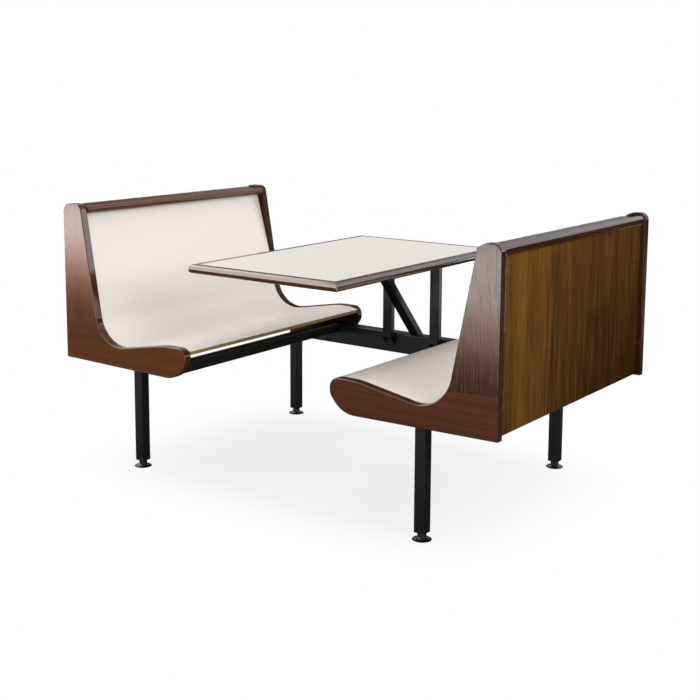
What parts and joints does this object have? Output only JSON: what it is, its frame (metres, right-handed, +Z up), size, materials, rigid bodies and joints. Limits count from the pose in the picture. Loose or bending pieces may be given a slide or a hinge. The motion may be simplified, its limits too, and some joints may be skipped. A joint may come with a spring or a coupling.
{
  "type": "restaurant booth table",
  "caption": "Restaurant booth: two facing benches with contoured seats and wooden end panels, joined by a steel frame that carries a cantilevered table.",
  "frame": {"origin": "on the floor, below the middle of the booth's bounding box", "axes": "+X from the left bench to the right bench, +Y from the aisle to the wall, +Z up"},
  "size_m": [1.746, 1, 0.9175],
  "materials": {
    "stained_wood": "dark stained, satin lacquer",
    "walnut_laminate": "walnut grain laminate, satin",
    "cream_laminate": "fine textured laminate",
    "plywood": "bare edge",
    "raw_wood": "sawn",
    "black_steel": "black powder coat",
    "black_plastic": "moulded",
    "polished_steel": "polished"
  },
  "bodies": {
    "frame": {"brace": "black_steel", "brace_plate": "black_steel", "cross_beam": "black_steel", "left_aisle_cleat": "raw_wood", "left_aisle_leg": "black_steel", "left_aisle_plug": "black_plastic", "left_aisle_rear_tie": "black_steel", "left_aisle_seat_board": "stained_wood", "left_aisle_stile": "stained_wood", "left_back_panel": "walnut_laminate", "left_cap_rail": "stained_wood", "left_front_rail": "black_steel", "left_front_tie": "black_steel", "left_leg_rail": "black_steel", "left_post": "black_steel", "left_rear_rail": "black_steel", "left_shell_laminate": "cream_laminate", "left_shell_ply": "plywood", "left_top_batten": "raw_wood", "left_wall_cleat": "raw_wood", "left_wall_leg": "black_steel", "left_wall_plug": "black_plastic", "left_wall_rear_tie": "black_steel", "left_wall_seat_board": "stained_wood", "left_wall_stile": "stained_wood", "post_plate": "black_steel", "right_aisle_cleat": "raw_wood", "right_aisle_leg": "black_steel", "right_aisle_plug": "black_plastic", "right_aisle_rear_tie": "black_steel", "right_aisle_seat_board": "stained_wood", "right_aisle_stile": "stained_wood", "right_back_panel": "walnut_laminate", "right_cap_rail": "stained_wood", "right_front_rail": "black_steel", "right_front_tie": "black_steel", "right_leg_rail": "black_steel", "right_post": "black_steel", "right_rear_rail": "black_steel", "right_shell_laminate": "cream_laminate", "right_shell_ply": "plywood", "right_top_batten": "raw_wood", "right_wall_cleat": "raw_wood", "right_wall_leg": "black_steel", "right_wall_plug": "black_plastic", "right_wall_rear_tie": "black_steel", "right_wall_seat_board": "stained_wood", "right_wall_stile": "stained_wood", "table_aisle_edge": "stained_wood", "table_core": "raw_wood", "table_laminate": "cream_laminate", "table_left_edge": "stained_wood", "table_right_edge": "stained_wood", "table_wall_edge": "stained_wood"},
    "left_aisle_glide": {"left_aisle_glide": "polished_steel"},
    "left_wall_glide": {"left_wall_glide": "polished_steel"},
    "right_aisle_glide": {"right_aisle_glide": "polished_steel"},
    "right_wall_glide": {"right_wall_glide": "polished_steel"}
  },
  "joints": [
    {"name": "left_aisle_glide_screw", "type": "slide", "parent": "frame", "child": "left_aisle_glide", "axis": [0, 0, -1], "range_m": [0, 0.015]},
    {"name": "left_wall_glide_screw", "type": "slide", "parent": "frame", "child": "left_wall_glide", "axis": [0, 0, -1], "range_m": [0, 0.015]},
    {"name": "right_aisle_glide_screw", "type": "slide", "parent": "frame", "child": "right_aisle_glide", "axis": [0, 0, -1], "range_m": [0, 0.015]},
    {"name": "right_wall_glide_screw", "type": "slide", "parent": "frame", "child": "right_wall_glide", "axis": [0, 0, -1], "range_m": [0, 0.015]}
  ]
}
